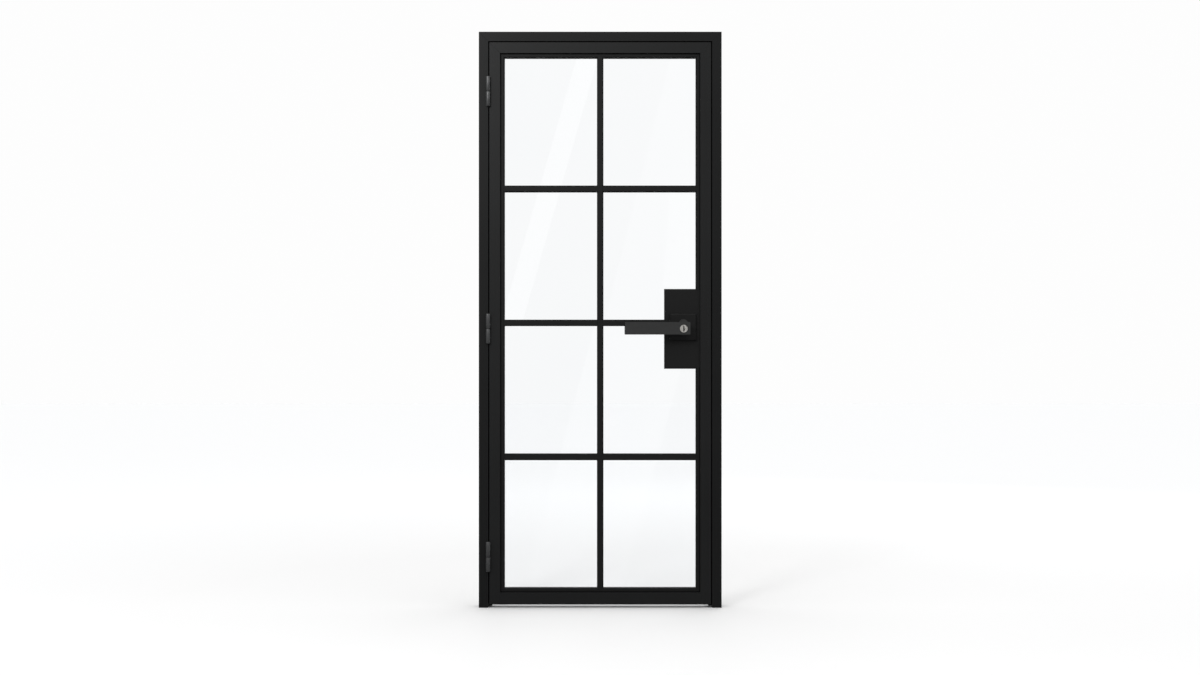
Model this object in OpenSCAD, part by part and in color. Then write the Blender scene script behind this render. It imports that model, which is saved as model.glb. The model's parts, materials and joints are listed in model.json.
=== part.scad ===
// Glazed steel door: rebated frame, one hinged leaf with a grid of glazing bars, lock box and lever set.
// Units are millimetres. X runs to the right across the opening, Y runs away from the front face, Z is up.
// The origin is on the floor, midway between the jambs, on the leaf's mid-plane.
// The leaf hangs on the left jamb and swings towards the front.

/* [Frame] */
// Overall width of the frame
frame_w = 900; // [750:5:1100]
// Overall height of the frame
frame_h = 2135; // [1775:5:2570]
// Width of the frame's front face
frame_face = 35; // [30:1:45]
// Depth of the frame's stop behind the leaf
stop_depth = 16; // [14:1:36]
// How far the stop stands in past the rebate
stop_lip = 12; // [10:1:16]
// Sheet thickness of the frame and leaf tubes
tube_wall = 2; // [1.5:0.5:2.5]

/* [Leaf] */
// Gap between leaf and frame
leaf_gap = 4; // [3.5:0.5:5]
// Gap between leaf and floor
undercut = 12; // [8:1:20]
// Depth of the leaf tubes
leaf_depth = 50; // [41:1:60]
// Face width of the stiles and top rail
stile_face = 40; // [36:1:48]
// Face width of the bottom rail
bottom_face = 44; // [40:1:80]

/* [Glazing] */
// Thickness of the glass
glass_t = 8; // [6:1:10]
// Width of the shadow groove between tube and glazing bar
groove_w = 3.5; // [2:0.5:5]
// Face width of the edge bars' heads
edge_head = 9.5; // [8:0.5:12]
// Face width of the mullion and transom heads
bar_head = 18; // [16:1:24]
// Thickness of the bars' heads and of the lock covers
head_t = 4; // [3:0.5:5]
// Thickness of the bars' webs
web_t = 5; // [4:1:6]
// Width of rubber that shows beside each bar head
rubber_show = 3; // [1:0.5:4]

/* [Hinges] */
// Outer radius of the hinge barrels
knuckle_r = 8; // [7:0.5:9]
// Length of a hinge barrel
hinge_len = 110; // [90:5:140]
// Radius of the hinge pins
pin_r = 4; // [3:0.5:5]

/* [Lock and handles] */
// Height of the handle axis above the floor
handle_z = 1040; // [950:5:1150]
// Side of the square rose plates
rose_side = 99; // [82:1:119]
// Distance between the rose plates and the lock stile
rose_gap = 14.5; // [4:0.5:30]
// Length of the lever bar
lever_len = 240; // [160:1:260]
// Height of the lever bar
lever_h = 46; // [38:1:56]
// Thickness of the lever bar
lever_t = 12; // [10:1:16]
// Clear depth between the rose and the lever bar
lever_stand = 45; // [40:1:60]
// Radius of the key plug
plug_r = 14; // [12:0.5:15]

/* [Hidden] */
$fn = 48;
eps = 0.01;
past = 1;                // how far a cut runs past a face

// fits
running = 0.05;          // radial play of turning parts
seat = 0.3;              // play of panels and rubber that nearly touch
cut_play = 0.1;          // play round plates let into a tube wall

// frame
half_w = frame_w / 2;
rebate_x = half_w - frame_face;
stop_x = rebate_x - stop_lip;
front_y = -leaf_depth / 2;
stop_play = 4;           // room behind the leaf for the seal
stop_y = leaf_depth / 2 + stop_play;
frame_back_y = stop_y + stop_depth;
seal_t = stop_play - seat;
seal_base_t = 1.5;
seal_w = 8;
seal_inset = 1;          // seal's distance from the stop's edge
fixing_r = 5.25;
fixing_y = (stop_y + frame_back_y) / 2;
fixing_low = 150;        // lowest wall fixing above the floor
fixing_drop = 185;       // highest wall fixing below the frame's top
fixing_zs = [for (i = [0:3]) fixing_low + i / 3 * (frame_h - fixing_low - fixing_drop)];
bottom_cap = 2;

// leaf
leaf_x = rebate_x - leaf_gap;
leaf_top = frame_h - frame_face - leaf_gap;
inner_x = leaf_x - stile_face;
inner_bottom = undercut + bottom_face;
inner_top = leaf_top - stile_face;

// glazing grid
web_back = 17;           // half the depth of the bars
head_front = -web_back;
head_back = head_front + head_t;
edge_fin = 3;
edge_web = groove_w + edge_fin;
pane_lap = bar_head / 2 - web_t / 2 + rubber_show;    // web face to visible glass
sight_bottom = inner_bottom + edge_web + pane_lap;
sight_top = inner_top - edge_web - pane_lap;
bar_sight = bar_head + 2 * rubber_show;
pane_h = (sight_top - sight_bottom - 3 * bar_sight) / 4;
transom_zs = [for (i = [1:3]) sight_bottom + i * pane_h + (i - 0.5) * bar_sight];
row_bottoms = [inner_bottom + edge_web, for (z = transom_zs) z + web_t / 2];
row_tops = [for (z = transom_zs) z - web_t / 2, inner_top - edge_web];
pocket_x = inner_x - edge_web;
gasket_t = 3;
glass_front = head_back + gasket_t;
glass_back = glass_front + glass_t;
bead_front = glass_back + gasket_t;
bead_w = pane_lap;
bead_sheet = 1.5;
glass_edge = 3;
block_len = 60;
block_in = 40;           // setting block's distance from the pane's corner

// lock box
axis_x = inner_x - rose_gap - rose_side / 2;
cover_side = 66;         // covers' reach to the left of, below and above the handle axis
cover_below = 151.5;
cover_above = 138.8;
cover_l = axis_x - cover_side;
cover_bottom = handle_z - cover_below;
cover_top = handle_z + cover_above;
cover_lap = bar_head / 2 - web_t / 2;
shell_l = cover_l + cover_lap;
shell_bottom = cover_bottom + cover_lap;
shell_top = cover_top - cover_lap;
shell_t = 3;

// latch
case_h = 60;
case_t = 14;
case_sheet = 1.5;
case_side = 27;          // case's reach to the left of the handle axis
case_l = axis_x - case_side;
forend_t = 3;
forend_w = 25;
forend_h = 130;
strap_z = 58;
strap_h = 20;
strap_t = 4;
hub_r = 9.8;
hub_bore = hub_r + running;
hub_out = 1;             // hub's stand past the case's cheeks
hub_room = 2;            // play around the hub in the covers
cam_len = 16;
cam_w = 6;
cam_t = 5;
latch_out = 3;
latch_h = 24;
latch_t = 2 * (case_t / 2 - case_sheet - seat);
latch_len = 42;          // latch inside the leaf's edge
tail_x = leaf_x - latch_len;
post_t = 3;
post_h = 12;
spring_l = axis_x + hub_r + hub_out + post_t;
screw_r = 2;
screw_head_r = 4;
screw_head_t = 2;
screw_tip = 3;           // screws' reach past their straps
socket_r = 1.25;
socket_t = 1.2;

// strike
strike_h = 100;
strike_box_h = 40;
strike_box_w = 20;
strike_screw_in = 10;
strike_screw_z = strike_h / 2 - strike_screw_in;
strike_box_t = 16;

// handles
spindle = 8;
rose_t = 10;
neck_r = 18;
boss_w = 33;                             // oval boss between neck and bar
boss_h = 58;
boss_t = 12;
lever_back_y = rose_t + lever_stand;     // measured out from the cover face
lever_over = 24.5;                       // bar beyond the axis towards the stile
bar_drop = 4.3;                          // bar's middle below the axis
lever_drop = bar_drop + lever_h / 2;
plug_drop = bar_drop + 1.5;              // key plug just below the bar's middle
collar_r = plug_r + 3.5;
collar_t = 6;
collar_proud = 1.2;
plug_len = 24;
plug_proud = 1.6;
rose_bolt_in = 11.5;                     // bolts' distance from the rose's edge
rose_bolt_z = rose_side / 2 - rose_bolt_in;
rose_bolt_r = 2.5;
rose_bolt_head_r = 4.5;
rose_bolt_head_t = 3;
rose_bolt_end = 4;                       // bolt tip below the front rose's face
grub_r = 2.5;
grub_out = 8;                            // grub screw's distance from the rose
grub_y = head_front - rose_t - grub_out;

// hinges
hinge_x = -rebate_x;
hinge_stand = 0.5;       // air between barrel and leaf face
hinge_y = front_y - knuckle_r - hinge_stand;
foot_w = 3.5;
foot_off = 1;            // frame-side foot's distance from the pin axis
hinge_zs = [189.6, 1034.6, frame_h - 221.4];
washer_t = 2;

// A prism along Y from y0 to y1 over a plan drawn in X and Z.
module along_y(y0, y1) {
    translate([0, y1, 0]) rotate([90, 0, 0]) linear_extrude(y1 - y0) children();
}

// A prism along X from x0 to x1 over a section drawn as [depth Y, height Z].
module along_x(x0, x1) {
    translate([x0, 0, 0]) rotate([90, 0, 90]) linear_extrude(x1 - x0) children();
}

module block(lo, hi) {
    translate(lo) cube(hi - lo);
}

// ---- frame ----

// Section of the rebated frame tube: u runs in from the outer edge, v is depth Y.
frame_reach = frame_face + stop_lip;
frame_points = [[0, front_y], [frame_face, front_y], [frame_face, stop_y], [frame_reach, stop_y],
    [frame_reach, frame_back_y], [0, frame_back_y]];

// Left jamb, mitred at the top; a plate closes the tube's foot.
module jamb_tube() {
    translate([-half_w, 0, 0]) intersection() {
        difference() {
            linear_extrude(frame_h) polygon(frame_points);
            translate([0, 0, bottom_cap]) linear_extrude(frame_h)
                offset(delta = -tube_wall) polygon(frame_points);
        }
        along_y(front_y - past, frame_back_y + past)
            polygon([[0, 0], [frame_reach, 0], [frame_reach, frame_h - frame_reach], [0, frame_h]]);
    }
}

module fixing_holes() {
    for (z = fixing_zs)
        translate([-half_w - past, fixing_y, z]) rotate([0, 90, 0])
            cylinder(h = frame_reach + 2 * past, r = fixing_r);
}

module frame_jamb_hinge() {
    color("#26282a") difference() {
        jamb_tube();
        fixing_holes();
    }
}

// Strap welded across the inside of a tube, drilled for a plate's screw.
module strap(x0, x1, y0, y1, z) {
    difference() {
        block([x0, y0, z - strap_h / 2], [x1, y1, z + strap_h / 2]);
        translate([x0 - past, 0, z]) rotate([0, 90, 0]) cylinder(h = x1 - x0 + 2 * past, r = screw_r);
    }
}

module frame_jamb_strike() {
    wall_in = rebate_x + tube_wall;
    color("#26282a") {
        difference() {
            mirror([1, 0, 0]) jamb_tube();
            mirror([1, 0, 0]) fixing_holes();
            block([rebate_x - past, -forend_w / 2 - cut_play, handle_z - strike_h / 2 - cut_play],
                [wall_in + eps, forend_w / 2 + cut_play, handle_z + strike_h / 2 + cut_play]);
        }
        for (s = [-1, 1])
            strap(wall_in, wall_in + strap_t, front_y + tube_wall, stop_y, handle_z + s * strike_screw_z);
    }
}

module frame_head() {
    section = [for (p = frame_points) [p[1], frame_h - p[0]]];
    color("#26282a") intersection() {
        along_x(-half_w, half_w) difference() {
            polygon(section);
            offset(delta = -tube_wall) polygon(section);
        }
        along_y(front_y - past, frame_back_y + past)
            polygon([[-half_w, frame_h], [half_w, frame_h], [half_w - frame_reach, frame_h - frame_reach],
                [frame_reach - half_w, frame_h - frame_reach]]);
    }
}

// Plan of a rubber strip that runs up both jambs and across under the head.
module seal_plan(inset) {
    x0 = stop_x + seal_inset + inset;
    x1 = stop_x + seal_inset + seal_w - inset;
    z0 = frame_h - half_w + x0;
    z1 = frame_h - half_w + x1;
    polygon([[-x1, 0], [-x1, z1], [x1, z1], [x1, 0], [x0, 0], [x0, z0], [-x0, z0], [-x0, 0]]);
}

// Rubber rebate seal: a flat base on the stop with a narrower lip towards the leaf.
module frame_seal() {
    lip_inset = 1.5;
    color("#101112") {
        along_y(stop_y - seal_base_t, stop_y) seal_plan(0);
        along_y(stop_y - seal_t, stop_y - seal_base_t + eps) seal_plan(lip_inset);
    }
}

module strike_plate() {
    x1 = rebate_x + tube_wall;
    color("#b5b6b4") difference() {
        block([rebate_x, -forend_w / 2, handle_z - strike_h / 2],
            [x1, forend_w / 2, handle_z + strike_h / 2]);
        block([rebate_x - past, -strike_box_w / 2 + case_sheet, handle_z - strike_box_h / 2 + case_sheet],
            [x1 + past, strike_box_w / 2 - case_sheet, handle_z + strike_box_h / 2 - case_sheet]);
        for (s = [-1, 1])
            translate([0, 0, handle_z + s * strike_screw_z]) screw_seat(rebate_x, tube_wall);
    }
}

// Dust box behind the strike plate's opening.
module strike_box() {
    x0 = rebate_x + tube_wall;
    x1 = x0 + strike_box_t;
    color("#8f9194") difference() {
        block([x0, -strike_box_w / 2, handle_z - strike_box_h / 2],
            [x1, strike_box_w / 2, handle_z + strike_box_h / 2]);
        block([x0 - past, -strike_box_w / 2 + case_sheet, handle_z - strike_box_h / 2 + case_sheet],
            [x1 - case_sheet, strike_box_w / 2 - case_sheet, handle_z + strike_box_h / 2 - case_sheet]);
    }
}

// Countersunk screw lying along X with its head flush at x; the tip points to +X.
module screw(x, len) {
    translate([x, 0, 0]) rotate([0, 90, 0]) difference() {
        union() {
            cylinder(h = screw_head_t, r1 = screw_head_r, r2 = screw_r);
            cylinder(h = len, r = screw_r);
        }
        translate([0, 0, -eps]) cylinder(h = socket_t, r = socket_r, $fn = 6);
    }
}

// The seat that a countersunk screw leaves in a plate of thickness t.
module screw_seat(x, t) {
    translate([x, 0, 0]) rotate([0, 90, 0]) {
        cylinder(h = screw_head_t, r1 = screw_head_r, r2 = screw_r);
        translate([0, 0, -past]) cylinder(h = t + 2 * past, r = screw_r);
    }
}

module strike_screws() {
    color("#9a9c9e") for (s = [-1, 1])
        translate([0, 0, handle_z + s * strike_screw_z]) screw(rebate_x, tube_wall + strap_t + screw_tip);
}

// ---- hinges ----

// One half of a barrel hinge, with the welded foot that joins it to a face.
module knuckle(z0, z1, foot_x, bore) {
    chamfer = 0.8;
    foot_end = 1;
    difference() {
        union() {
            translate([hinge_x, hinge_y, z0]) rotate_extrude()
                polygon([[0, 0], [knuckle_r - chamfer, 0], [knuckle_r, chamfer],
                    [knuckle_r, z1 - z0 - chamfer], [knuckle_r - chamfer, z1 - z0], [0, z1 - z0]]);
            block([foot_x, hinge_y, z0 + foot_end], [foot_x + foot_w, front_y, z1 - foot_end]);
        }
        translate([hinge_x, hinge_y, z0 - past]) cylinder(h = z1 - z0 + 2 * past, r = bore);
    }
}

module frame_knuckle(i) {
    color("#3a3c3e")
        knuckle(hinge_zs[i] - hinge_len / 2, hinge_zs[i] - washer_t / 2, hinge_x - foot_off - foot_w,
            pin_r);
}

module leaf_knuckle(i) {
    color("#3a3c3e")
        knuckle(hinge_zs[i] + washer_t / 2 + cut_play, hinge_zs[i] + hinge_len / 2, hinge_x + leaf_gap,
            pin_r + running);
}

module hinge_frame_knuckle_bottom() { frame_knuckle(0); }
module hinge_frame_knuckle_middle() { frame_knuckle(1); }
module hinge_frame_knuckle_top() { frame_knuckle(2); }
module hinge_leaf_knuckle_bottom() { leaf_knuckle(0); }
module hinge_leaf_knuckle_middle() { leaf_knuckle(1); }
module hinge_leaf_knuckle_top() { leaf_knuckle(2); }

module hinge_pins() {
    sunk = 4;
    color("#7f8184") for (z = hinge_zs)
        translate([hinge_x, hinge_y, z - hinge_len / 2 + sunk]) cylinder(h = hinge_len - 2 * sunk, r = pin_r);
}

module hinge_washers() {
    color("#151617") for (z = hinge_zs)
        translate([hinge_x, hinge_y, z - washer_t / 2]) difference() {
            cylinder(h = washer_t, r = knuckle_r + seat);
            translate([0, 0, -past]) cylinder(h = washer_t + 2 * past, r = pin_r);
        }
}

// ---- leaf tubes ----

// Left stile, mitred at the top and closed at the foot.
module stile_tube() {
    translate([-leaf_x, 0, undercut]) intersection() {
        difference() {
            block([0, front_y, 0], [stile_face, -front_y, leaf_top - undercut]);
            block([tube_wall, front_y + tube_wall, bottom_cap],
                [stile_face - tube_wall, -front_y - tube_wall, leaf_top]);
        }
        along_y(front_y - past, -front_y + past)
            polygon([[0, 0], [stile_face, 0], [stile_face, leaf_top - undercut - stile_face],
                [0, leaf_top - undercut]]);
    }
}

module leaf_stile_hinge() {
    color("#26282a") stile_tube();
}

module leaf_stile_lock() {
    color("#26282a") {
        difference() {
            mirror([1, 0, 0]) stile_tube();
            block([inner_x - past, -case_t / 2 - cut_play, handle_z - case_h / 2 - cut_play],
                [inner_x + tube_wall + eps, case_t / 2 + cut_play, handle_z + case_h / 2 + cut_play]);
            block([leaf_x - tube_wall - eps, -forend_w / 2 - cut_play, handle_z - forend_h / 2 - cut_play],
                [leaf_x + past, forend_w / 2 + cut_play, handle_z + forend_h / 2 + cut_play]);
        }
        for (s = [-1, 1])
            strap(leaf_x - forend_t - strap_t, leaf_x - forend_t, front_y + tube_wall, -front_y - tube_wall,
                handle_z + s * strap_z);
    }
}

module leaf_top_rail() {
    color("#26282a") intersection() {
        difference() {
            block([-leaf_x, front_y, inner_top], [leaf_x, -front_y, leaf_top]);
            block([-leaf_x - past, front_y + tube_wall, inner_top + tube_wall],
                [leaf_x + past, -front_y - tube_wall, leaf_top - tube_wall]);
        }
        along_y(front_y - past, -front_y + past)
            polygon([[-leaf_x, leaf_top], [leaf_x, leaf_top], [inner_x, inner_top], [-inner_x, inner_top]]);
    }
}

// The bottom rail butts between the stiles.
module leaf_bottom_rail() {
    color("#26282a") difference() {
        block([-inner_x, front_y, undercut], [inner_x, -front_y, inner_bottom]);
        block([-inner_x - past, front_y + tube_wall, undercut + tube_wall],
            [inner_x + past, -front_y - tube_wall, inner_bottom - tube_wall]);
    }
}

// ---- glazing grid ----

// Section of an edge bar, [out from the tube, depth]: web on the tube, head past a shadow groove.
edge_reach = groove_w + edge_head;
edge_points = [[0, head_back], [groove_w, head_back], [groove_w, head_front], [edge_reach, head_front],
    [edge_reach, head_back], [edge_web, head_back], [edge_web, web_back], [0, web_back]];

module edge_bar_top() {
    color("#232527") intersection() {
        along_x(-inner_x, inner_x) polygon([for (p = edge_points) [p[1], inner_top - p[0]]]);
        along_y(head_front - past, web_back + past)
            polygon([[-inner_x, inner_top], [inner_x, inner_top],
                [inner_x - edge_reach, inner_top - edge_reach],
                [edge_reach - inner_x, inner_top - edge_reach]]);
    }
}

module edge_bar_bottom() {
    color("#232527") intersection() {
        along_x(-inner_x, inner_x) polygon([for (p = edge_points) [p[1], inner_bottom + p[0]]]);
        along_y(head_front - past, web_back + past)
            polygon([[-inner_x, inner_bottom], [inner_x, inner_bottom],
                [inner_x - edge_reach, inner_bottom + edge_reach],
                [edge_reach - inner_x, inner_bottom + edge_reach]]);
    }
}

// Left upright edge bar, mitred at both ends.
module edge_bar_upright() {
    intersection() {
        translate([-inner_x, 0, inner_bottom]) linear_extrude(inner_top - inner_bottom) polygon(edge_points);
        along_y(head_front - past, web_back + past)
            polygon([[-inner_x, inner_bottom], [edge_reach - inner_x, inner_bottom + edge_reach],
                [edge_reach - inner_x, inner_top - edge_reach], [-inner_x, inner_top]]);
    }
}

module edge_bar_hinge_side() {
    color("#232527") edge_bar_upright();
}

// The lock side bar is cut where the lock box stands.
module edge_bar_lock_upper() {
    color("#232527") difference() {
        mirror([1, 0, 0]) edge_bar_upright();
        block([pocket_x - pane_lap, head_front - past, 0], [inner_x + past, head_back, cover_top]);
        block([pocket_x - pane_lap, head_back, 0], [inner_x + past, web_back + past, shell_top]);
    }
}

module edge_bar_lock_lower() {
    color("#232527") difference() {
        mirror([1, 0, 0]) edge_bar_upright();
        block([pocket_x - pane_lap, head_front - past, cover_bottom], [inner_x + past, head_back, frame_h]);
        block([pocket_x - pane_lap, head_back, shell_bottom], [inner_x + past, web_back + past, frame_h]);
    }
}

module mullion() {
    color("#232527") {
        block([-bar_head / 2, head_front, inner_bottom + edge_reach],
            [bar_head / 2, head_back, inner_top - edge_reach]);
        block([-web_t / 2, head_back, inner_bottom + edge_web],
            [web_t / 2, web_back, inner_top - edge_web]);
    }
}

// Half transom from head end x0 and web end w0 to head end x1 and web end w1.
module transom(z, x0, w0, x1, w1) {
    color("#232527") {
        block([x0, head_front, z - bar_head / 2], [x1, head_back, z + bar_head / 2]);
        block([w0, head_back, z - web_t / 2], [w1, web_back, z + web_t / 2]);
    }
}

module transoms_left() {
    for (z = transom_zs)
        transom(z, edge_reach - inner_x, -pocket_x, -bar_head / 2, -web_t / 2);
}

// One that meets the lock box stops there.
module transoms_right() {
    for (z = transom_zs) {
        meets_box = z + bar_head / 2 > cover_bottom && z - bar_head / 2 < cover_top;
        transom(z, bar_head / 2, web_t / 2, meets_box ? cover_l : inner_x - edge_reach,
            meets_box ? shell_l : pocket_x);
    }
}

// ---- glass ----

// Pocket between the webs that holds pane [side, row]; the lock box takes a corner from two of them.
module pocket(side, row) {
    difference() {
        if (side < 0) translate([-pocket_x, row_bottoms[row]])
            square([pocket_x - web_t / 2, row_tops[row] - row_bottoms[row]]);
        else translate([web_t / 2, row_bottoms[row]])
            square([pocket_x - web_t / 2, row_tops[row] - row_bottoms[row]]);
        translate([shell_l, shell_bottom]) square([inner_x, (side > 0 ? 1 : 0) * (shell_top - shell_bottom)]);
    }
}

module pocket_ring(side, row, inner, outer) {
    difference() {
        offset(delta = -outer) pocket(side, row);
        offset(delta = -inner) pocket(side, row);
    }
}

module pane(side, row) {
    color([0.84, 0.9, 0.93, 0.3]) along_y(glass_front, glass_back)
        offset(delta = -glass_edge) pocket(side, row);
}

module glass_left_1() { pane(-1, 3); }
module glass_left_2() { pane(-1, 2); }
module glass_left_3() { pane(-1, 1); }
module glass_left_4() { pane(-1, 0); }
module glass_right_1() { pane(1, 3); }
module glass_right_2() { pane(1, 2); }
module glass_right_3() { pane(1, 1); }
module glass_right_4() { pane(1, 0); }

module glazing_gasket_front() {
    color("#101112") for (side = [-1, 1], row = [0:3])
        along_y(head_back, glass_front) pocket_ring(side, row, pane_lap, 0);
}

module glazing_gasket_back() {
    color("#101112") for (side = [-1, 1], row = [0:3])
        along_y(glass_back, bead_front) pocket_ring(side, row, bead_w, glass_edge);
}

// Sheet channel clipped to the webs behind the glass, open towards the web.
module bead(side, row) {
    difference() {
        along_y(bead_front, web_back) pocket_ring(side, row, bead_w, 0);
        along_y(bead_front + bead_sheet, web_back - bead_sheet)
            pocket_ring(side, row, bead_w - bead_sheet, -1);
    }
}

module glazing_beads_left() {
    color("#232527") for (row = [0:3]) bead(-1, row);
}

module glazing_beads_right() {
    color("#232527") for (row = [0:3]) bead(1, row);
}

// Blocks that carry each pane's weight, two to a pane; above the lock box the outer one sits further in.
module setting_blocks() {
    inset = block_len / 2 + block_in;
    color("#4b4d50") for (side = [-1, 1], row = [0:3], end = [0, 1]) {
        over_box = side > 0 && row_bottoms[row] > shell_bottom && row_bottoms[row] < shell_top;
        outer = over_box ? shell_l : pocket_x;
        x = side * (end == 0 ? web_t / 2 + inset : outer - inset);
        block([x - block_len / 2, glass_front, row_bottoms[row]],
            [x + block_len / 2, glass_back, row_bottoms[row] + glass_edge]);
    }
}

// ---- lock box ----

// Sheet walls of the lock box on its three glass sides, welded to the stile.
module lock_box_shell() {
    color("#232527") along_y(head_back, -head_back) difference() {
        translate([shell_l, shell_bottom]) square([inner_x - shell_l, shell_top - shell_bottom]);
        translate([shell_l + shell_t, shell_bottom + shell_t])
            square([inner_x - shell_l, shell_top - shell_bottom - 2 * shell_t]);
    }
}

module rose_bolt_holes(r) {
    for (s = [-1, 1])
        translate([axis_x, 0, handle_z + s * rose_bolt_z]) rotate([90, 0, 0])
            cylinder(h = 2 * (web_back + past), r = r, center = true);
}

// Cylinder along Y on the handle axis, or below it by drop.
module axis_hole(y0, y1, r, drop = 0) {
    translate([axis_x, y1, handle_z - drop]) rotate([90, 0, 0]) cylinder(h = y1 - y0, r = r);
}

module lock_cover_front() {
    color("#202224") difference() {
        block([cover_l, head_front, cover_bottom], [inner_x, head_back, cover_top]);
        axis_hole(head_front - past, head_back + past, hub_r + hub_room);
        rose_bolt_holes(rose_bolt_r + cut_play);
    }
}

module lock_cover_back() {
    color("#202224") difference() {
        block([shell_l, -head_back, shell_bottom], [inner_x, web_back, shell_top]);
        axis_hole(-head_back - past, web_back + past, hub_r + hub_room);
        rose_bolt_holes(rose_bolt_r + cut_play);
    }
}

// ---- latch ----

// Latch case with hub bores through both cheeks, notches where rose bolts pass close, and a post for the
// spring; open at the forend.
module latch_case() {
    x1 = leaf_x - forend_t;
    color("#8f9194") {
        difference() {
            block([case_l, -case_t / 2, handle_z - case_h / 2], [x1, case_t / 2, handle_z + case_h / 2]);
            block([case_l + case_sheet, -case_t / 2 + case_sheet, handle_z - case_h / 2 + case_sheet],
                [x1 + past, case_t / 2 - case_sheet, handle_z + case_h / 2 - case_sheet]);
            axis_hole(-case_t, case_t, hub_bore);
            rose_bolt_holes(rose_bolt_r + cut_play);
        }
        block([spring_l - post_t, case_sheet - case_t / 2, handle_z - post_h / 2],
            [spring_l, case_t / 2 - case_sheet, handle_z + post_h / 2]);
    }
}

module latch_forend() {
    x0 = leaf_x - forend_t;
    color("#b5b6b4") difference() {
        block([x0, -forend_w / 2, handle_z - forend_h / 2], [leaf_x, forend_w / 2, handle_z + forend_h / 2]);
        block([x0 - past, -latch_t / 2 - cut_play, handle_z - latch_h / 2 - cut_play],
            [leaf_x + past, latch_t / 2 + cut_play, handle_z + latch_h / 2 + cut_play]);
        for (s = [-1, 1])
            mirror([1, 0, 0]) translate([0, 0, handle_z + s * strap_z]) screw_seat(-leaf_x, forend_t);
    }
}

module forend_screws() {
    color("#9a9c9e") for (s = [-1, 1])
        mirror([1, 0, 0]) translate([0, 0, handle_z + s * strap_z])
            screw(-leaf_x, forend_t + strap_t + screw_tip);
}

// Latch bolt: bevelled nose, tail, and two strips over the follower that carry its pull bar.
module latch_bolt() {
    cam_gap = 0.5;
    bar_t = 4;
    strip_h = 8;
    tail_t = 8;
    pull_x = axis_x - cam_w / 2 - cam_gap;
    strip_lo = cam_len - cam_w / 2;
    strip_hi = strip_lo + strip_h;
    strip_t = latch_t / 2 - cam_t / 2 - 2 * seat;
    nose_y = latch_t / 2;
    nose_flat = 0.5;
    color("#3c3e40") {
        translate([0, 0, handle_z - latch_h / 2]) linear_extrude(latch_h)
            polygon([[tail_x, -nose_y], [leaf_x + latch_out, -nose_y], [leaf_x + latch_out, 0],
                [leaf_x + nose_flat, nose_y], [tail_x, nose_y]]);
        block([tail_x, -nose_y, handle_z], [tail_x + tail_t, nose_y, handle_z + strip_hi]);
        for (s = [0, 1]) mirror([0, s, 0])
            block([pull_x - bar_t, nose_y - strip_t, handle_z + strip_lo],
                [tail_x + tail_t / 2, nose_y, handle_z + strip_hi]);
        block([pull_x - bar_t, -nose_y, handle_z + strip_lo], [pull_x, nose_y, handle_z + strip_hi]);
    }
}

// Return spring between the case's post and the latch tail: closed rings on a backing wire.
module latch_spring() {
    coil_r = 3.6;
    wire_r = 0.6;
    turns = 9;
    pitch = (tail_x - spring_l - 2 * wire_r) / turns;
    color("#9a9c9e") {
        for (i = [0:turns])
            translate([spring_l + wire_r + i * pitch, 0, handle_z]) rotate([0, 90, 0])
                rotate_extrude($fn = 24) translate([coil_r, 0]) circle(r = wire_r, $fn = 8);
        translate([spring_l, 0, handle_z - coil_r]) rotate([0, 90, 0])
            cylinder(h = tail_x - spring_l, r = wire_r * 0.8, $fn = 16);
    }
}

// Follower: square-holed hub with a cam that pulls the latch.
module latch_follower() {
    color("#a9abad") difference() {
        union() {
            axis_hole(-case_t / 2 - hub_out, case_t / 2 + hub_out, hub_r);
            block([axis_x - cam_w / 2, -cam_t / 2, handle_z],
                [axis_x + cam_w / 2, cam_t / 2, handle_z + cam_len]);
        }
        block([axis_x - spindle / 2, -case_t, handle_z - spindle / 2],
            [axis_x + spindle / 2, case_t, handle_z + spindle / 2]);
    }
}

module spindle() {
    reach = web_back + lever_back_y - plug_len;
    color("#8a8c8f") block([axis_x - spindle / 2, -reach, handle_z - spindle / 2],
        [axis_x + spindle / 2, reach, handle_z + spindle / 2]);
}

// ---- handles ----

// Square rose with chamfered edges, its back on the cover face; front is -Y.
module rose() {
    chamfer = 3;
    difference() {
        hull() {
            block([axis_x - rose_side / 2, head_front - rose_t + chamfer, handle_z - rose_side / 2],
                [axis_x + rose_side / 2, head_front, handle_z + rose_side / 2]);
            block([axis_x - rose_side / 2 + chamfer, head_front - rose_t, handle_z - rose_side / 2 + chamfer],
                [axis_x + rose_side / 2 - chamfer, head_front, handle_z + rose_side / 2 - chamfer]);
        }
        axis_hole(head_front - rose_t - past, head_front + past, neck_r + seat);
    }
}

module rose_front() {
    tap_end = rose_bolt_end - 1;
    color("#1d1f21") difference() {
        rose();
        for (s = [-1, 1])
            translate([axis_x, head_front + past, handle_z + s * rose_bolt_z]) rotate([90, 0, 0])
                cylinder(h = rose_t - tap_end + past, r = rose_bolt_r);
    }
}

module rose_back() {
    color("#1d1f21") difference() {
        mirror([0, 1, 0]) rose();
        for (s = [-1, 1])
            translate([axis_x, web_back + rose_t + past, handle_z + s * rose_bolt_z]) rotate([90, 0, 0]) {
                cylinder(h = rose_bolt_head_t + past, r = rose_bolt_head_r + cut_play);
                cylinder(h = rose_t + 2 * past, r = rose_bolt_r + cut_play);
            }
    }
}

// Through bolts: heads sunk in the back rose, tips threaded into the front rose.
module rose_bolts() {
    hex_r = 1.8;
    hex_t = 2;
    color("#9a9c9e") for (s = [-1, 1])
        translate([axis_x, web_back + rose_t, handle_z + s * rose_bolt_z]) rotate([90, 0, 0]) difference() {
            union() {
                cylinder(h = rose_bolt_head_t, r = rose_bolt_head_r);
                cylinder(h = 2 * (web_back + rose_t) - rose_bolt_end, r = rose_bolt_r);
            }
            translate([0, 0, -eps]) cylinder(h = hex_t, r = hex_r, $fn = 6);
        }
}

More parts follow.
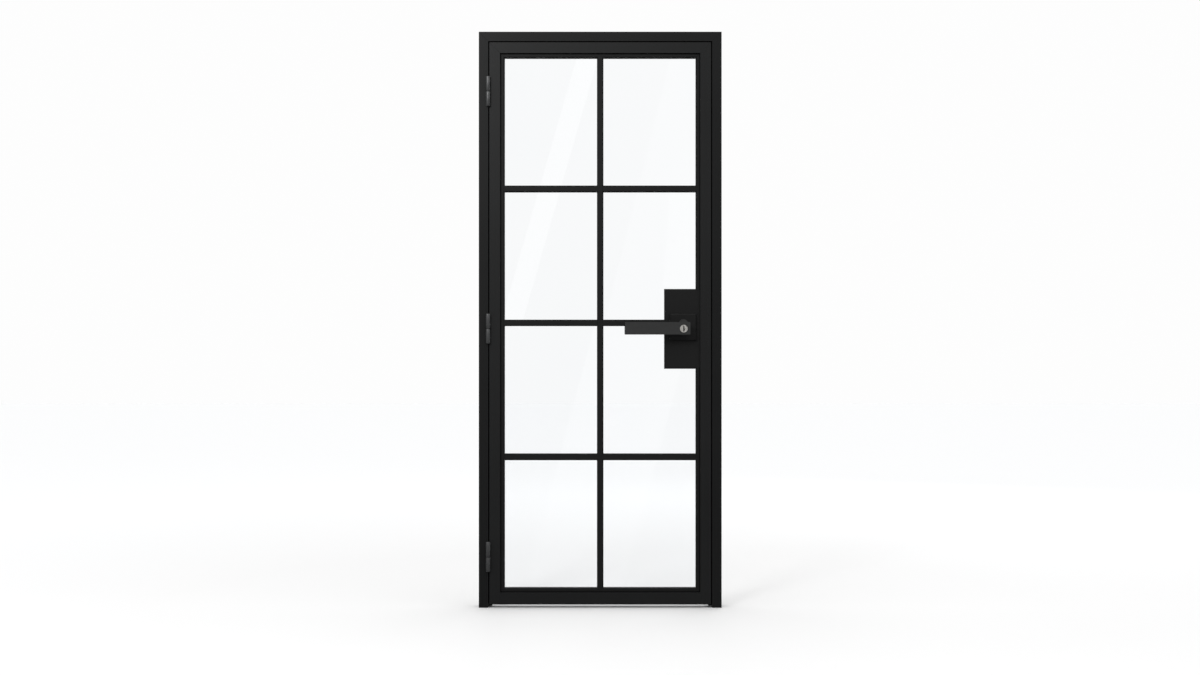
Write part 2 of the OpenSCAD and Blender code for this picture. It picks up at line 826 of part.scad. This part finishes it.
// Lever: round neck through the rose, oval boss and flat bar; a bore in the bar takes the plug or turn button.
module lever() {
    y_bar = head_front - lever_back_y;
    y_face = y_bar - lever_t;
    corner = 3;
    boss_end = (boss_h - boss_w) / 2;
    difference() {
        union() {
            axis_hole(y_bar, head_front - seat, neck_r);
            for (s = [-1, 1]) axis_hole(y_bar, y_bar + boss_t, boss_w / 2, s * boss_end);
            block([axis_x - boss_w / 2, y_bar, handle_z - boss_end],
                [axis_x + boss_w / 2, y_bar + boss_t, handle_z + boss_end]);
            along_y(y_face, y_bar)
                translate([axis_x + lever_over - lever_len + corner, handle_z - lever_drop + corner])
                    offset(r = corner) square([lever_len - 2 * corner, lever_h - 2 * corner]);
        }
        axis_hole(y_face - past, y_face + collar_t, collar_r, plug_drop);
        axis_hole(y_face - past, y_face + plug_len + past, plug_r + running, plug_drop);
        block([axis_x - spindle / 2, y_face + plug_len, handle_z - spindle / 2],
            [axis_x + spindle / 2, 0, handle_z + spindle / 2]);
        translate([axis_x, grub_y, handle_z - neck_r - past]) cylinder(h = neck_r, r = grub_r);
    }
}

module lever_front() {
    color("#232527") lever();
}

module lever_back() {
    color("#232527") mirror([0, 1, 0]) lever();
}

// Screws up through the levers' necks that grip the spindle.
module lever_grub_screws() {
    grub_len = 12;
    hex_r = 1.4;
    hex_t = 3;
    color("#9a9c9e") for (s = [-1, 1])
        translate([axis_x, s * grub_y, handle_z - spindle / 2 - grub_len]) difference() {
            cylinder(h = grub_len, r = grub_r);
            translate([0, 0, -eps]) cylinder(h = hex_t, r = hex_r, $fn = 6);
        }
}

// Black collars around the key plug and around the turn button.
module collar() {
    y1 = head_front - lever_back_y - lever_t + collar_t;
    difference() {
        axis_hole(y1 - collar_t - collar_proud, y1, collar_r, plug_drop);
        axis_hole(y1 - collar_t - collar_proud - past, y1 + past, plug_r + running, plug_drop);
    }
}

module lever_collars() {
    color("#0d0e0f") {
        collar();
        mirror([0, 1, 0]) collar();
    }
}

// Round key plug with an upright keyway that has one side ward.
module key_plug() {
    y0 = head_front - lever_back_y - lever_t - plug_proud;
    slot_w = 4;
    slot_h = 21;
    key_z = handle_z - plug_drop;
    color("#c4c0b6") difference() {
        axis_hole(y0, y0 + plug_len, plug_r, plug_drop);
        block([axis_x - slot_w / 2, y0 - past, key_z - slot_h / 2],
            [axis_x + slot_w / 2, y0 + plug_len / 2, key_z + slot_h / 2]);
        block([axis_x, y0 - past, key_z - slot_h / 4], [axis_x + slot_w, y0 + plug_len / 2, key_z]);
    }
}

// Turn button for the inside: round base with a tapered thumb grip.
module turn_button() {
    y0 = web_back + lever_back_y + lever_t;
    y1 = y0 + plug_proud;
    grip_out = 12;
    foot = [7, 24];
    tip = [4, 21];
    key_z = handle_z - plug_drop;
    color("#c4c0b6") {
        axis_hole(y1 - plug_len, y1, plug_r, plug_drop);
        hull() {
            block([axis_x - foot[0] / 2, y0, key_z - foot[1] / 2],
                [axis_x + foot[0] / 2, y1, key_z + foot[1] / 2]);
            block([axis_x - tip[0] / 2, y0, key_z - tip[1] / 2],
                [axis_x + tip[0] / 2, y0 + grip_out, key_z + tip[1] / 2]);
        }
    }
}

// ---- nodes ----

frame_jamb_hinge();
frame_jamb_strike();
frame_head();
frame_seal();
strike_plate();
strike_box();
strike_screws();
hinge_frame_knuckle_bottom();
hinge_frame_knuckle_middle();
hinge_frame_knuckle_top();
hinge_pins();
hinge_washers();
hinge_leaf_knuckle_bottom();
hinge_leaf_knuckle_middle();
hinge_leaf_knuckle_top();
leaf_stile_hinge();
leaf_stile_lock();
leaf_top_rail();
leaf_bottom_rail();
edge_bar_top();
edge_bar_bottom();
edge_bar_hinge_side();
edge_bar_lock_upper();
edge_bar_lock_lower();
mullion();
transoms_left();
transoms_right();
glass_left_1();
glass_left_2();
glass_left_3();
glass_left_4();
glass_right_1();
glass_right_2();
glass_right_3();
glass_right_4();
glazing_gasket_front();
glazing_gasket_back();
glazing_beads_left();
glazing_beads_right();
setting_blocks();
lock_box_shell();
lock_cover_front();
lock_cover_back();
latch_case();
latch_forend();
forend_screws();
latch_bolt();
latch_spring();
latch_follower();
spindle();
rose_front();
rose_back();
rose_bolts();
lever_front();
lever_back();
lever_grub_screws();
lever_collars();
key_plug();
turn_button();
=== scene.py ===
# Glazed steel door: finishes for the CAD nodes, weld beads at the hinges, studio and camera
import json
import math

import bpy
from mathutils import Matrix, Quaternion, Vector


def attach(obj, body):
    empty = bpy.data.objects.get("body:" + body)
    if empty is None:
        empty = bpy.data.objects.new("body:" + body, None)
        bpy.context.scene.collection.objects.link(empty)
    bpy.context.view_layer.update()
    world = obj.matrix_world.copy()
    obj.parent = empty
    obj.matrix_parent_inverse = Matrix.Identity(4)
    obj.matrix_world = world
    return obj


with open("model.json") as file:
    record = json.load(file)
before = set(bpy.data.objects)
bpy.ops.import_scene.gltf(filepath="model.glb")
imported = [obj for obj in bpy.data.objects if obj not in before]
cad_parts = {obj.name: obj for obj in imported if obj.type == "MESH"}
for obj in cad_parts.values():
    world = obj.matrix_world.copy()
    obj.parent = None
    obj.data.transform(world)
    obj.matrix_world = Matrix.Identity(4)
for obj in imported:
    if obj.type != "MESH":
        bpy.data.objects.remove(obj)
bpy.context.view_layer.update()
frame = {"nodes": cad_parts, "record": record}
nodes = frame["nodes"]
print("frame loaded:", len(nodes), "nodes")


def newMaterial(name):
    mat = bpy.data.materials.new(name)
    mat.use_nodes = True
    return mat, mat.node_tree, mat.node_tree.nodes["Principled BSDF"]


def addNode(tree, kind, **inputs):
    node = tree.nodes.new(kind)
    for key, value in inputs.items():
        node.inputs[key].default_value = value
    return node


def localPoint(tree, stretch=(1, 1, 1), move=(0, 0, 0)):
    coords = tree.nodes.new("ShaderNodeTexCoord")
    mapping = addNode(tree, "ShaderNodeMapping", Scale=stretch, Location=move)
    tree.links.new(coords.outputs["Object"], mapping.inputs["Vector"])
    return mapping.outputs["Vector"]


def noise(tree, vector, scale, detail=3.0):
    tex = addNode(tree, "ShaderNodeTexNoise", Scale=scale, Detail=detail)
    tree.links.new(vector, tex.inputs["Vector"])
    return tex.outputs["Fac"]


noiseLow, noiseHigh = 0.3, 0.7  # noise seldom leaves this band, so the band is what gets mapped


def spread(tree, value, low, high):
    remap = tree.nodes.new("ShaderNodeMapRange")
    remap.inputs["From Min"].default_value = noiseLow
    remap.inputs["From Max"].default_value = noiseHigh
    remap.inputs["To Min"].default_value = low
    remap.inputs["To Max"].default_value = high
    tree.links.new(value, remap.inputs["Value"])
    return remap.outputs["Result"]


def twoTone(tree, value, dark, light):
    ramp = tree.nodes.new("ShaderNodeValToRGB")
    ramp.color_ramp.elements[0].position = noiseLow
    ramp.color_ramp.elements[0].color = (*dark, 1)
    ramp.color_ramp.elements[1].position = noiseHigh
    ramp.color_ramp.elements[1].color = (*light, 1)
    tree.links.new(value, ramp.inputs["Fac"])
    return ramp.outputs["Color"]


def bump(tree, height, strength, distance):
    node = addNode(tree, "ShaderNodeBump", Strength=strength, Distance=distance)
    tree.links.new(height, node.inputs["Height"])
    return node.outputs["Normal"]


# powder coat: a slow drift in tone, fine grain in the gloss and an orange peel skin
frameCoatLook = {
    "dark": (0.0050, 0.0052, 0.0053),
    "light": (0.0062, 0.0064, 0.0065),
    "driftScale": 4.0,
    "peelScale": 900.0,
    "peelDetail": 2.0,
    "peel": 0.10,
    "peelHeight": 0.0004,
    "grainShare": 0.35,  # the grain's scale as a share of the peel's
    "grainDetail": 4.0,
    "roughness": (0.36, 0.46),
    "specular": 0.2,
}
# painted light: the leaf takes a lighter copy of the frame's black coat, though both are the same paint,
# standing in for the key light falling on the leaf
leafLitCoatLook = dict(frameCoatLook, dark=(0.0068, 0.0071, 0.0073), light=(0.0082, 0.0085, 0.0087),
                    specular=0.24)
barCoatLook = dict(frameCoatLook, dark=(0.0054, 0.0055, 0.0056), light=(0.0064, 0.0065, 0.0066),
                   roughness=(0.42, 0.52))
coverCoatLook = dict(frameCoatLook, dark=(0.0056, 0.0057, 0.0057), light=(0.0064, 0.0065, 0.0065),
                     roughness=(0.45, 0.56))
# partly painted light: the lever's black is its own glossier finish, lightened further to stand in for the
# light falling on the nearer lever
leverCoatAndLightLook = dict(frameCoatLook, dark=(0.0175, 0.0177, 0.0178), light=(0.0205, 0.0207, 0.0208),
                     peelScale=1500.0, peel=0.05, roughness=(0.30, 0.38), specular=0.5)
# partly painted highlight: the hinges' dark grey is their own colour, lightened further to stand in for the
# sheen on the round barrels
hingeCoatAndSheenLook = dict(frameCoatLook, dark=(0.028, 0.0285, 0.0295), light=(0.036, 0.0365, 0.0375), peel=0.05,
                     roughness=(0.26, 0.34), specular=0.8)


def powderCoat(name, look):
    mat, tree, shader = newMaterial(name)
    point = localPoint(tree)
    drift = noise(tree, point, look["driftScale"])
    grain = noise(tree, point, look["peelScale"] * look["grainShare"], look["grainDetail"])
    peel = noise(tree, point, look["peelScale"], look["peelDetail"])
    tree.links.new(twoTone(tree, drift, look["dark"], look["light"]), shader.inputs["Base Color"])
    tree.links.new(spread(tree, grain, *look["roughness"]), shader.inputs["Roughness"])
    tree.links.new(bump(tree, peel, look["peel"], look["peelHeight"]), shader.inputs["Normal"])
    shader.inputs["Specular IOR Level"].default_value = look["specular"]
    return mat


# bare metal with fine lines along one axis
steelLook = {
    "dark": (0.36, 0.37, 0.37),
    "light": (0.46, 0.46, 0.46),
    "cloudScale": 90.0,
    "stretch": (1, 1, 0.03),
    "lineScale": 900.0,
    "lineDetail": 4.0,
    "lineHeight": 0.0001,
    "depth": 0.3,
    "roughness": (0.28, 0.42),
}
darkSteelLook = dict(steelLook, dark=(0.030, 0.030, 0.031), light=(0.045, 0.045, 0.047),
                     stretch=(1, 1, 0.05), lineScale=700.0, roughness=(0.30, 0.42), depth=0.2)


def brushedMetal(name, look):
    mat, tree, shader = newMaterial(name)
    lines = noise(tree, localPoint(tree, look["stretch"]), look["lineScale"], look["lineDetail"])
    cloud = noise(tree, localPoint(tree), look["cloudScale"])
    tree.links.new(twoTone(tree, cloud, look["dark"], look["light"]), shader.inputs["Base Color"])
    tree.links.new(spread(tree, lines, *look["roughness"]), shader.inputs["Roughness"])
    tree.links.new(bump(tree, lines, look["depth"], look["lineHeight"]), shader.inputs["Normal"])
    shader.inputs["Metallic"].default_value = 1.0
    return mat


# satin nickel with turned rings about the key axis, and painted shade where it lies deeper than the plug's
# face, so the keyway reads dark
nickelLook = {
    "dark": (0.62, 0.60, 0.56),
    "light": (0.90, 0.88, 0.84),
    "slotShade": (0.012, 0.012, 0.012),
    "axis": (0.307, 0, 1.0342),
    "face": (0.0838, 0.0846),  # the painted slot shade turns to bright metal between these distances from the leaf's middle
    "cloudScale": 160.0,
    "cloudDetail": 2.0,
    "ringScale": 520.0,
    "ringWander": 0.6,
    "ringDetail": 2.0,
    "ringHeight": 0.0001,
    "depth": 0.12,
    "roughness": (0.26, 0.46),
}


def turnedNickel(name, look):
    mat, tree, shader = newMaterial(name)
    rings = addNode(tree, "ShaderNodeTexWave", Scale=look["ringScale"], Distortion=look["ringWander"],
                    Detail=look["ringDetail"])
    rings.wave_type = "RINGS"
    rings.rings_direction = "Y"
    tree.links.new(localPoint(tree, move=[-c for c in look["axis"]]), rings.inputs["Vector"])
    cloud = noise(tree, localPoint(tree), look["cloudScale"], look["cloudDetail"])
    place = tree.nodes.new("ShaderNodeSeparateXYZ")
    tree.links.new(localPoint(tree), place.inputs["Vector"])
    outness = tree.nodes.new("ShaderNodeMath")
    outness.operation = "ABSOLUTE"
    tree.links.new(place.outputs["Y"], outness.inputs[0])
    # painted shade: the keyway's walls and floor inside the plug are coloured dark by their depth
    clearOfSlotShade = tree.nodes.new("ShaderNodeMapRange")
    clearOfSlotShade.inputs["From Min"].default_value, clearOfSlotShade.inputs["From Max"].default_value = look["face"]
    tree.links.new(outness.outputs[0], clearOfSlotShade.inputs["Value"])
    tone = tree.nodes.new("ShaderNodeMix")
    tone.data_type = "RGBA"  # its colour sockets are 6 and 7 in, 2 out
    tone.inputs[6].default_value = (*look["slotShade"], 1)
    tree.links.new(clearOfSlotShade.outputs["Result"], tone.inputs[0])
    tree.links.new(twoTone(tree, cloud, look["dark"], look["light"]), tone.inputs[7])
    tree.links.new(tone.outputs[2], shader.inputs["Base Color"])
    tree.links.new(spread(tree, rings.outputs["Fac"], *look["roughness"]), shader.inputs["Roughness"])
    turned = bump(tree, rings.outputs["Fac"], look["depth"], look["ringHeight"])
    tree.links.new(turned, shader.inputs["Normal"])
    shader.inputs["Metallic"].default_value = 1.0
    return mat


# black rubber, dull and finely grained
rubberLook = {
    "dark": (0.0030, 0.0030, 0.0032),
    "light": (0.0050, 0.0050, 0.0054),
    "cloudScale": 30.0,
    "grainScale": 1200.0,
    "grainDetail": 4.0,
    "grain": 0.25,
    "grainHeight": 0.0003,
    "roughness": (0.62, 0.80),
    "specular": 0.35,
}


def sealRubber(name, look):
    mat, tree, shader = newMaterial(name)
    point = localPoint(tree)
    fine = noise(tree, point, look["grainScale"], look["grainDetail"])
    cloud = noise(tree, point, look["cloudScale"])
    tree.links.new(twoTone(tree, cloud, look["dark"], look["light"]), shader.inputs["Base Color"])
    tree.links.new(spread(tree, fine, *look["roughness"]), shader.inputs["Roughness"])
    tree.links.new(bump(tree, fine, look["grain"], look["grainHeight"]), shader.inputs["Normal"])
    shader.inputs["Specular IOR Level"].default_value = look["specular"]
    return mat


# float glass: a cool tint, a breath of waviness and faint wiping marks
glassLook = {
    "dark": (0.972, 0.984, 0.994),
    "light": (0.985, 0.994, 1.0),
    "cloudScale": 1.6,
    "wipeStretch": (1.0, 1.0, 0.35),
    "wipeScale": 9.0,
    "wipeDetail": 5.0,
    "haze": (0.0, 0.02),
    "waveScale": 3.0,
    "waveDetail": 1.0,
    "wave": 0.02,
    "waveHeight": 0.001,
    "ior": 1.5,
}


def clearGlass(name, look):
    mat, tree, shader = newMaterial(name)
    point = localPoint(tree)
    wipe = noise(tree, localPoint(tree, look["wipeStretch"]), look["wipeScale"], look["wipeDetail"])
    wave = noise(tree, point, look["waveScale"], look["waveDetail"])
    tint = twoTone(tree, noise(tree, point, look["cloudScale"]), look["dark"], look["light"])
    tree.links.new(tint, shader.inputs["Base Color"])
    tree.links.new(spread(tree, wipe, *look["haze"]), shader.inputs["Roughness"])
    tree.links.new(bump(tree, wave, look["wave"], look["waveHeight"]), shader.inputs["Normal"])
    shader.inputs["Transmission Weight"].default_value = 1.0
    shader.inputs["IOR"].default_value = look["ior"]
    return mat


finishes = {
    "black_coat": powderCoat("satinFrameCoat", frameCoatLook),
    "leaf_coat": powderCoat("satinLeafLitCoat", leafLitCoatLook),
    "bar_coat": powderCoat("satinBarCoat", barCoatLook),
    "black_cover": powderCoat("lockCoverCoat", coverCoatLook),
    "handle_black": powderCoat("leverCoatAndLight", leverCoatAndLightLook),
    "hinge_steel": powderCoat("greyHingeCoatAndSheen", hingeCoatAndSheenLook),
    "steel": brushedMetal("brushedSteel", steelLook),
    "dark_steel": brushedMetal("blackenedSteel", darkSteelLook),
    "nickel": turnedNickel("satinNickel", nickelLook),
    "rubber": sealRubber("sealRubber", rubberLook),
    "glass": clearGlass("floatGlass", glassLook),
}
print("finishes made:", len(finishes))

# nodes that take a closer finish than their slot in the record, by the start of the name
closerFinish = {"leaf_": "leaf_coat", "edge_bar": "bar_coat", "mullion": "bar_coat", "transoms": "bar_coat",
                "glazing_beads": "bar_coat", "rose_front": "black_cover", "rose_back": "black_cover"}
recordSlots = {part["node"]: part["material_slot"] for part in frame["record"]["subparts"]}

# edge radius in metres, by the start of the name
edgeRadius = {"frame_jamb": 0.0004, "frame_head": 0.0004, "leaf_": 0.0004, "edge_bar": 0.0005,
              "mullion": 0.0005, "transoms": 0.0005, "glazing_beads": 0.0004, "lock_cover": 0.0006,
              "rose_front": 0.0008, "rose_back": 0.0008, "lever_front": 0.0014, "lever_back": 0.0014,
              "lever_collars": 0.0006, "key_plug": 0.0005, "turn_button": 0.0010, "strike_plate": 0.0003,
              "latch_forend": 0.0003, "latch_bolt": 0.0004, "glass_": 0.0004, "hinge_leaf": 0.0003,
              "hinge_frame": 0.0003}
edgeCut = {"seam": 0.00001, "segments": 2, "angle": 35}  # edges that turn further than the angle are rounded


def startMatch(name, table, otherwise=None):
    return next((value for start, value in table.items() if name.startswith(start)), otherwise)


def softenEdges(obj, radius):
    weld = obj.modifiers.new("joinSeams", "WELD")
    weld.merge_threshold = edgeCut["seam"]
    bevel = obj.modifiers.new("softEdges", "BEVEL")
    bevel.width = radius
    bevel.segments = edgeCut["segments"]
    bevel.limit_method = "ANGLE"
    bevel.angle_limit = math.radians(edgeCut["angle"])
    bevel.use_clamp_overlap = True
    bevel.harden_normals = True


for name, obj in nodes.items():
    obj.data.materials.clear()
    obj.data.materials.append(finishes[startMatch(name, closerFinish, recordSlots[name])])
    radius = startMatch(name, edgeRadius)
    if radius:
        softenEdges(obj, radius)
    if name.startswith("glass_"):
        obj.visible_shadow = False  # clear panes let the soft light through
        obj.visible_diffuse = False
print("nodes finished")

# a weld bead along each hinge foot, where it meets the tube's face
weldLook = {
    "radius": 0.0016,
    "pitch": 0.0022,
    "ripple": 0.10,
    "tip": 0.35,  # share of the radius left at either end
    "taper": 6,
    "rings": 64,
    "sides": 8,
    "inset": 0.003,
    "frameX": -0.4195,
    "leafX": -0.4075,
    "faceY": -0.0250,
}


def weldBead(x, z0, z1, look):
    points, faces = [], []
    rings, sides = look["rings"], look["sides"]
    for i in range(rings):
        z = z0 + (z1 - z0) * i / (rings - 1)
        ends = min(1, look["tip"] + look["taper"] * min(i, rings - 1 - i) / rings)  # thins out at both ends
        dip = 0.5 + 0.5 * math.cos(2 * math.pi * z / look["pitch"])
        r = look["radius"] * ends * (1 - look["ripple"] * dip)
        for j in range(sides):
            turn = 2 * math.pi * j / sides
            points.append((x + r * math.cos(turn), look["faceY"] + r * math.sin(turn), z))
    for i in range(rings - 1):
        for j in range(sides):
            a, b = i * sides + j, i * sides + (j + 1) % sides
            faces.append((a, b, b + sides, a + sides))
    faces.append(tuple(reversed(range(sides))))
    faces.append(tuple(range((rings - 1) * sides, rings * sides)))
    return points, faces


def nodeHeights(name):
    heights = [v.co.z for v in nodes[name].data.vertices]
    return min(heights), max(heights)


def weldBeads(name, x, knuckles, body, look):
    points, faces = [], []
    for knuckle in knuckles:
        low, high = nodeHeights(knuckle)
        beadPoints, beadFaces = weldBead(x, low + look["inset"], high - look["inset"], look)
        faces += [tuple(i + len(points) for i in face) for face in beadFaces]
        points += beadPoints
    mesh = bpy.data.meshes.new(name)
    mesh.from_pydata(points, [], faces)
    mesh.shade_smooth()
    mesh.materials.append(finishes["black_coat"])
    obj = bpy.data.objects.new(name, mesh)
    bpy.context.collection.objects.link(obj)
    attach(obj, body)


levels = ("bottom", "middle", "top")
frameKnuckles = ["hinge_frame_knuckle_" + level for level in levels]
leafKnuckles = ["hinge_leaf_knuckle_" + level for level in levels]
weldBeads("hinge_welds_frame", weldLook["frameX"], frameKnuckles, "frame", weldLook)
weldBeads("hinge_welds_leaf", weldLook["leafX"], leafKnuckles, "leaf", weldLook)
print("weld beads laid")

# floor: plain and pale, with painted shade around the door that offsets the pool of the key light
floorLook = {"size": 40.0, "far": (0.86, 0.865, 0.87), "keyPoolShade": (0.79, 0.79, 0.79), "reach": 10.0,
             "speckle": 0.02, "speckleScale": 0.8, "roughness": 0.6, "specular": 0.2}

floorMat, floorTree, floorShader = newMaterial("paleFloor")
keyPoolMask = floorTree.nodes.new("ShaderNodeTexGradient")
keyPoolMask.gradient_type = "QUADRATIC_SPHERE"
floorTree.links.new(localPoint(floorTree, (1 / floorLook["reach"],) * 3), keyPoolMask.inputs["Vector"])
speckle = floorTree.nodes.new("ShaderNodeMath")
speckle.operation = "MULTIPLY_ADD"
speckle.inputs[1].default_value = floorLook["speckle"]
floorTree.links.new(noise(floorTree, localPoint(floorTree), floorLook["speckleScale"]), speckle.inputs[0])
floorTree.links.new(keyPoolMask.outputs["Fac"], speckle.inputs[2])
floorTree.links.new(twoTone(floorTree, speckle.outputs[0], floorLook["far"], floorLook["keyPoolShade"]),
                    floorShader.inputs["Base Color"])
floorShader.inputs["Roughness"].default_value = floorLook["roughness"]
floorShader.inputs["Specular IOR Level"].default_value = floorLook["specular"]
half = floorLook["size"] / 2
floorMesh = bpy.data.meshes.new("floor")
floorCorners = [(-half, -half, 0), (half, -half, 0), (half, half, 0), (-half, half, 0)]
floorMesh.from_pydata(floorCorners, [], [(0, 1, 2, 3)])
floorMesh.materials.append(floorMat)
floor = bpy.data.objects.new("floor", floorMesh)
bpy.context.collection.objects.link(floor)
floor.visible_glossy = False  # the metal reflects the dim room, not the bright floor

# world: plain white to the eye; everything else meets a bright sky over a dim horizon
skyLook = {"horizon": 0.08, "sky": 1.31, "from": -0.2, "to": 0.75, "seen": 0.985}

world = bpy.data.worlds.new("studio")
world.use_nodes = True
bpy.context.scene.world = world
sky = world.node_tree
background = sky.nodes["Background"]
coords = sky.nodes.new("ShaderNodeTexCoord")
split = sky.nodes.new("ShaderNodeSeparateXYZ")
sky.links.new(coords.outputs["Generated"], split.inputs["Vector"])
room = sky.nodes.new("ShaderNodeMapRange")
room.interpolation_type = "SMOOTHSTEP"
room.inputs["From Min"].default_value = skyLook["from"]
room.inputs["From Max"].default_value = skyLook["to"]
room.inputs["To Min"].default_value = skyLook["horizon"]
room.inputs["To Max"].default_value = skyLook["sky"]
sky.links.new(split.outputs["Z"], room.inputs["Value"])
path = sky.nodes.new("ShaderNodeLightPath")
seen = sky.nodes.new("ShaderNodeMath")
seen.operation = "MAXIMUM"
sky.links.new(path.outputs["Is Camera Ray"], seen.inputs[0])
sky.links.new(path.outputs["Is Transmission Ray"], seen.inputs[1])
mix = sky.nodes.new("ShaderNodeMix")
mix.data_type = "FLOAT"  # its value sockets are 2 and 3
mix.inputs[3].default_value = skyLook["seen"]
sky.links.new(seen.outputs[0], mix.inputs[0])
sky.links.new(room.outputs["Result"], mix.inputs[2])
sky.links.new(mix.outputs[0], background.inputs["Strength"])
background.inputs["Color"].default_value = (1.0, 1.0, 1.0, 1)

# lights: a key from the upper left, a soft one behind, and dim strips that the panes mirror as slanting sheen
softboxes = {
    "keyBox": {"place": (-1.9, -4.5, 3.3), "aim": (-0.3, 0, 1.6), "size": (1.2, 1.2), "power": 68.0},
    "backBox": {"place": (2.5, 5.0, 2.4), "aim": (0, 0, 1.2), "size": (2.0, 2.0), "power": 14.0},
    "sheenUpper": {"place": (-0.37, -6.4, 2.095), "aim": (-0.37, 0, 2.095), "size": (0.152, 2.1),
                   "power": 0.42, "lean": -16},
    "sheenRight": {"place": (0.60, -6.4, 2.08), "aim": (0.60, 0, 2.08), "size": (0.634, 2.1),
                   "power": 0.75, "lean": -14},
    "sheenSide": {"place": (0.612, -6.38, 1.723), "aim": (0.612, 0, 1.723), "size": (0.25, 0.71),
                  "power": 0.1, "lean": -4},
    "sheenLower": {"place": (0.053, -6.4, 0.089), "aim": (0.053, 0, 0.089), "size": (0.698, 2.03),
                   "power": 1.1, "lean": -15},
}


def softbox(name, box):
    light = bpy.data.lights.new(name, "AREA")
    light.shape = "RECTANGLE"
    light.size, light.size_y = box["size"]
    light.energy = box["power"]
    obj = bpy.data.objects.new(name, light)
    obj.location = box["place"]
    sight = Vector(box["aim"]) - Vector(box["place"])
    turn = Quaternion((0, 0, 1), math.radians(box.get("lean", 0)))  # lean turns it about its own line of sight
    obj.rotation_mode = "QUATERNION"
    obj.rotation_quaternion = sight.to_track_quat("-Z", "Y") @ turn
    bpy.context.collection.objects.link(obj)


for name, box in softboxes.items():
    softbox(name, box)
print("lights set:", len(softboxes))

# level camera, square on to the leaf
cameraSet = {"place": (-0.0008, -6.523, 1.0017), "lens": 52.6, "sensor": 36.0}

lens = bpy.data.cameras.new("camera")
lens.lens = cameraSet["lens"]
lens.sensor_width = cameraSet["sensor"]
camera = bpy.data.objects.new("camera", lens)
camera.location = cameraSet["place"]
camera.rotation_euler = (math.radians(90), 0, 0)
bpy.context.collection.objects.link(camera)
bpy.context.scene.camera = camera
bpy.context.scene.view_settings.view_transform = "Standard"
bpy.context.scene.view_settings.look = "None"
print("studio ready")
